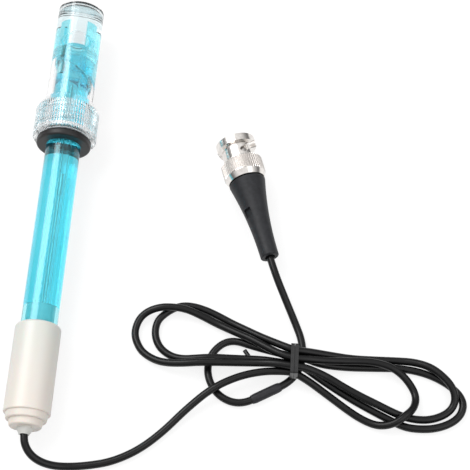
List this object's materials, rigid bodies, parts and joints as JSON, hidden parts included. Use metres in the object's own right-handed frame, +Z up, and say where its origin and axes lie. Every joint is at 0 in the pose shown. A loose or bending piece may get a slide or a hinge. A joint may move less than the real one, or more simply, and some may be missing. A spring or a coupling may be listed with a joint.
{
  "type": "ph electrode",
  "caption": "Combination pH electrode with a clear storage bottle on its bulb and a bundled thin cable that ends in a bayonet plug.",
  "frame": {"origin": "on the bench, under the middle of the electrode, whose length is the box's longest side", "axes": "+Y along the electrode from its handle to its bulb end, +X towards the cable's bundle, +Z up"},
  "size_m": [0.1501, 0.1693, 0.0223],
  "materials": {
    "blue_plastic": "clear cyan-blue moulded plastic, glossy",
    "bulb_glass": "thin blown glass",
    "black_rubber": "matt black rubber",
    "grey_rubber": "matt grey silicone rubber",
    "washer_rubber": "brown-black rubber with a soft sheen",
    "pale_silicone": "pale translucent silicone rubber",
    "silver_wire": "silver wire with a grey coated end",
    "white_ceramic": "porous white ceramic",
    "cream_plastic": "cream white moulded plastic, fine satin",
    "pale_plastic": "pale soft plastic",
    "clear_plastic": "clear moulded plastic, glossy",
    "black_jacket": "black cable jacket, satin",
    "tie_plastic": "black shrink plastic with a sheen",
    "boot_rubber": "matt dark grey rubber",
    "core_plastic": "pale cable core",
    "white_plastic": "white turned plastic",
    "nickel": "bright nickel plate",
    "gold_pin": "gold plated contact"
  },
  "bodies": {
    "root": {"body_tube": "blue_plastic", "bulb_guard": "blue_plastic", "glass_bulb": "bulb_glass", "bulb_seal": "black_rubber", "stem_plug": "black_rubber", "inner_wire": "silver_wire", "rear_bung": "grey_rubber", "reference_wire": "silver_wire", "reference_junction": "white_ceramic", "lead_core": "black_jacket", "handle_cap": "cream_plastic", "strain_relief": "pale_plastic", "cable_lead": "black_jacket", "cable_hank": "black_jacket", "twist_tie": "tie_plastic", "cable_loop": "black_jacket", "shrink_sleeve": "tie_plastic", "cable_tail": "black_jacket", "plug_boot": "boot_rubber", "crimp_ferrule": "nickel", "cable_core": "core_plastic", "plug_body": "nickel", "plug_insulator": "white_plastic", "centre_pin": "gold_pin", "face_gasket": "grey_rubber", "spring_washer": "nickel"},
    "seal_set": {"seal_washer": "washer_rubber", "gland_ring": "pale_silicone"},
    "cap_set": {"bottle_cap": "clear_plastic"},
    "bottle_set": {"storage_bottle": "clear_plastic"},
    "ring_set": {"retaining_ring": "nickel"},
    "sleeve_set": {"coupling_sleeve": "nickel"}
  },
  "joints": [
    {"name": "assembly_slide", "type": "slide", "parent": "root", "child": "seal_set", "axis": [0, 0.9994, 0.0352], "range_m": [-0.005, 0.06]},
    {"name": "cap_turn", "type": "hinge", "parent": "seal_set", "child": "cap_set", "pos_m": [0, 0.02658, 0.01101], "axis": [0, 0.9994, 0.0352], "range_deg": [-540, 0]},
    {"name": "bottle_back_off", "type": "slide", "parent": "seal_set", "child": "bottle_set", "axis": [0, 0.9994, 0.0352], "range_m": [0, 0.00375]},
    {"name": "sleeve_travel", "type": "slide", "parent": "root", "child": "ring_set", "axis": [-0.3107, 0.9505, 0], "range_m": [0, 0.0012], "stiffness_N_per_m": 500},
    {"name": "sleeve_turn", "type": "hinge", "parent": "ring_set", "child": "sleeve_set", "pos_m": [0.06189, 0.02242, 0.00725], "axis": [-0.3107, 0.9505, 0], "continuous": true}
  ],
  "couplings": [
    {"joint": "cap_turn", "follows": "bottle_back_off", "rad_per_m": -2513.3}
  ]
}
